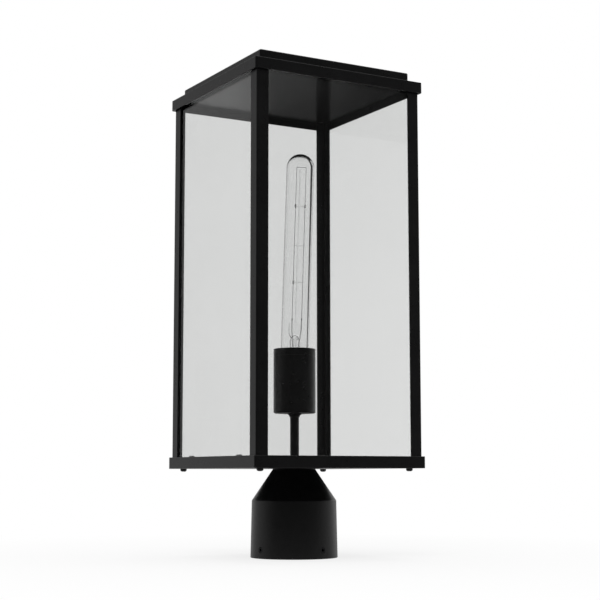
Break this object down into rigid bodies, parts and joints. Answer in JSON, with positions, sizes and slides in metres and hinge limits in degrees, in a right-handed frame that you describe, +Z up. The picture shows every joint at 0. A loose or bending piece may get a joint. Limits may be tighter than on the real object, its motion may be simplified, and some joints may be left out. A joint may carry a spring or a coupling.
{
  "type": "post top lantern",
  "caption": "Square post top lantern: a clear glass cage with a shallow roof round an upright tubular lamp in a deep socket cup, on a round fitter for a lamp post.",
  "frame": {"origin": "centre of the fitter's open mouth, where the lantern stands on a flat surface", "axes": "+Z up along the post, -Y towards the front pane, +X to the lantern's right"},
  "size_m": [0.191, 0.191, 0.488],
  "materials": {
    "sheet_coat": "satin black powder coat",
    "cast_coat": "satin black powder coat on a casting",
    "black_screw": "satin black paint",
    "black_oxide": "black oxide",
    "zinc_steel": "zinc plated",
    "pane_glass": "clear, polished",
    "lamp_glass": "clear, fire polished",
    "brass": "bright pressed brass",
    "filament_wire": "bright drawn wire",
    "black_vitrite": "glossy black insulating glass",
    "solder": "soft solder",
    "nylon": "matt moulded nylon",
    "porcelain": "glazed porcelain"
  },
  "bodies": {
    "base": {"post_fitter": "cast_coat", "fitter_screws": "zinc_steel", "base_tray": "sheet_coat", "cage_screws": "black_screw", "stem": "sheet_coat", "stem_washer": "zinc_steel", "stem_lower_nut": "zinc_steel", "stem_upper_nut": "zinc_steel", "stem_bush": "nylon", "stem_collar": "sheet_coat", "cup_nut": "zinc_steel", "socket_cup": "sheet_coat", "holder_base": "porcelain", "holder_body": "porcelain", "screw_shell": "brass", "holder_contact": "brass", "terminal_screws": "zinc_steel"},
    "cage": {"post_front_left": "sheet_coat", "post_front_right": "sheet_coat", "post_back_left": "sheet_coat", "post_back_right": "sheet_coat", "pane_frame": "sheet_coat", "pane_clips": "sheet_coat", "clip_rivets": "zinc_steel", "pane_front": "pane_glass", "pane_back": "pane_glass", "pane_left": "pane_glass", "pane_right": "pane_glass", "roof_liner": "sheet_coat", "roof_rim": "sheet_coat", "roof_screws": "black_screw", "roof_cap": "sheet_coat"},
    "lamp_contact": {"lamp_tip": "solder"},
    "lamp": {"lamp_glass": "lamp_glass", "lamp_mount": "lamp_glass", "lamp_rod": "lamp_glass", "lamp_filament": "filament_wire", "lamp_leads": "filament_wire", "lamp_supports": "filament_wire", "lamp_cap": "brass", "lamp_insulator": "black_vitrite"},
    "set_screw_1": {"set_screw_1": "black_oxide"},
    "set_screw_2": {"set_screw_2": "black_oxide"},
    "set_screw_3": {"set_screw_3": "black_oxide"},
    "set_screw_4": {"set_screw_4": "black_oxide"}
  },
  "joints": [
    {"name": "cage_lift", "type": "slide", "parent": "base", "child": "cage", "axis": [0, 0, 1], "range_m": [0, 0.33]},
    {"name": "lamp_rise", "type": "slide", "parent": "base", "child": "lamp_contact", "axis": [0, 0, 1], "range_m": [0, 0.0182]},
    {"name": "lamp_turn", "type": "hinge", "parent": "lamp_contact", "child": "lamp", "pos_m": [0, 0, 0.2], "axis": [0, 0, 1], "range_deg": [0, 1800]},
    {"name": "set_screw_1_drive", "type": "slide", "parent": "base", "child": "set_screw_1", "axis": [-0.9816, -0.1908, 0], "range_m": [0, 0.0016]},
    {"name": "set_screw_2_drive", "type": "slide", "parent": "base", "child": "set_screw_2", "axis": [0.1908, -0.9816, 0], "range_m": [0, 0.0016]},
    {"name": "set_screw_3_drive", "type": "slide", "parent": "base", "child": "set_screw_3", "axis": [0.9816, 0.1908, 0], "range_m": [0, 0.0016]},
    {"name": "set_screw_4_drive", "type": "slide", "parent": "base", "child": "set_screw_4", "axis": [-0.1908, 0.9816, 0], "range_m": [0, 0.0016]}
  ],
  "couplings": [
    {"joint": "lamp_rise", "follows": "lamp_turn", "m_per_rad": 0.00057757}
  ]
}
